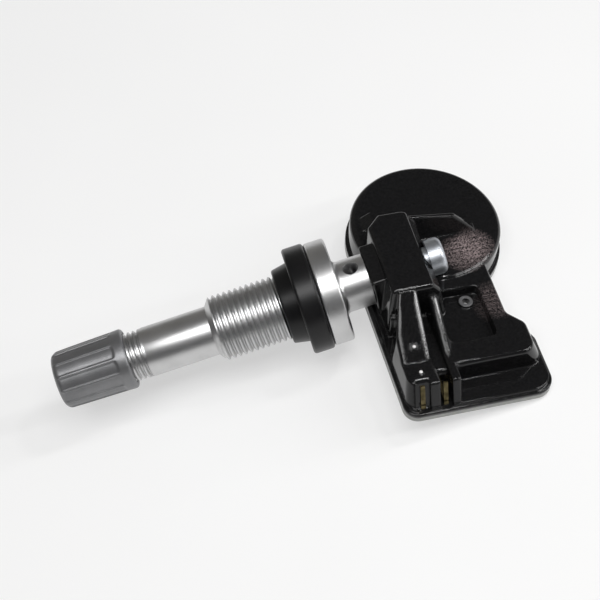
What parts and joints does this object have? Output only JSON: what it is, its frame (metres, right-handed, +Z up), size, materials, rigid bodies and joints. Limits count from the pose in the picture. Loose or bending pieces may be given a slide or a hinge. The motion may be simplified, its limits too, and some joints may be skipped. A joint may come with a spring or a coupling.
{
  "type": "tyre pressure sensor",
  "caption": "Tyre pressure sensor on a clamp-in aluminium valve stem, with a glossy black body screwed to the stem at an angle and a ribbed grey valve cap",
  "frame": {"origin": "centre of the rim seat, where the rubber ring's shoulder meets the inside of the rim, on the stem's axis", "axes": "+X along the stem towards the sensor body, +Y across the body to its round end, +Z up on the side of the stem's air hole"},
  "size_m": [0.0739, 0.0454, 0.0212],
  "materials": {
    "cap_plastic": "moulded grey plastic, satin",
    "stem_aluminium": "turned aluminium, fine tool marks",
    "seal_rubber": "black rubber",
    "cover_plastic": "grey plate under the black moulding",
    "housing_plastic": "glossy black moulding",
    "screw_steel": "bright plated steel",
    "core_brass": "turned brass",
    "contact_brass": "stamped brass strip",
    "spring_steel": "drawn wire",
    "cell_steel": "plated can",
    "board_laminate": "green solder mask",
    "chip_resin": "moulded resin",
    "ceramic": "fired ceramic",
    "ferrite": "sintered ferrite",
    "copper": "enamelled copper",
    "filter_film": "porous film"
  },
  "bodies": {
    "sensor": {"valve_stem": "stem_aluminium", "stem_grommet": "seal_rubber", "core_barrel": "core_brass", "core_gasket": "seal_rubber", "core_spring": "spring_steel", "fixing_screw": "screw_steel", "sensor_housing": "housing_plastic", "base_cover": "cover_plastic", "contact_strip_left": "contact_brass", "contact_strip_right": "contact_brass", "circuit_board": "board_laminate", "battery_cell": "cell_steel", "battery_tab_top": "cell_steel", "battery_tab_bottom": "cell_steel", "sensor_chip": "chip_resin", "port_gasket": "seal_rubber", "port_filter": "filter_film", "crystal": "cell_steel", "coil_core": "ferrite", "wake_coil": "copper", "loop_antenna": "copper", "chip_capacitors": "ceramic"},
    "cap_liner": {"cap_seal": "seal_rubber"},
    "cap": {"valve_cap": "cap_plastic"},
    "core_plunger": {"core_pin": "core_brass", "core_washer": "seal_rubber"}
  },
  "joints": [
    {"name": "cap_lift", "type": "slide", "parent": "sensor", "child": "cap_liner", "axis": [-1, 0, 0], "range_m": [0, 0.01112]},
    {"name": "cap_turn", "type": "hinge", "parent": "cap_liner", "child": "cap", "pos_m": [-0.0333, 0, 0], "axis": [-1, 0, 0], "range_deg": [0, 5041]},
    {"name": "core_press", "type": "slide", "parent": "sensor", "child": "core_plunger", "axis": [1, 0, 0], "range_m": [0, 0.0012], "stiffness_N_per_m": 600, "springref_m": -0.003, "deforming": ["core_spring"]}
  ],
  "couplings": [
    {"joint": "cap_turn", "follows": "cap_lift", "rad_per_m": 7913.3}
  ]
}
